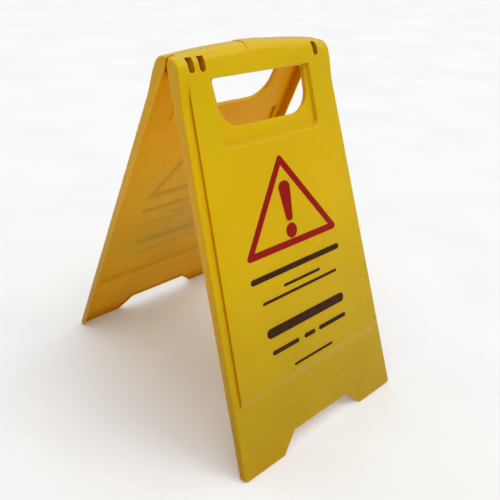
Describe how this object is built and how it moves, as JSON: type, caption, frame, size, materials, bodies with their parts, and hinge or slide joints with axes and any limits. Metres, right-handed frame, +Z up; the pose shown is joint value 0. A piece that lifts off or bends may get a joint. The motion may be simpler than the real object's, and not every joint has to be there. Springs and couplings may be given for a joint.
{
  "type": "wet floor sign",
  "caption": "Folding A-frame floor warning sign: moulded yellow panels with a hand hole and carrying rail, hinged at the top, with a printed warning triangle and plain bars.",
  "frame": {"origin": "on the floor under the hinge line, midway between the feet", "axes": "+X along the hinge line, +Z up, -Y towards the front panel's feet; the sign stands open at rest"},
  "size_m": [0.3494, 0.4778, 0.57],
  "materials": {
    "yellow_plastic": "satin moulded polypropylene",
    "pin_plastic": "satin moulded pin",
    "red_ink": "screen-printed ink",
    "dark_ink": "screen-printed ink"
  },
  "bodies": {
    "front": {"front_panel": "yellow_plastic", "front_hinge_pin": "pin_plastic", "front_triangle_print": "red_ink", "front_exclamation_print": "red_ink", "front_headline_print": "dark_ink", "front_small_print": "dark_ink"},
    "rear": {"rear_panel": "yellow_plastic", "rear_hinge_pin": "pin_plastic", "rear_triangle_print": "red_ink", "rear_exclamation_print": "red_ink", "rear_headline_print": "dark_ink", "rear_small_print": "dark_ink"}
  },
  "joints": [
    {"name": "fold", "type": "hinge", "parent": "front", "child": "rear", "pos_m": [0, 0, 0.55027], "axis": [-1, 0, 0], "range_deg": [0, 44.6]}
  ]
}
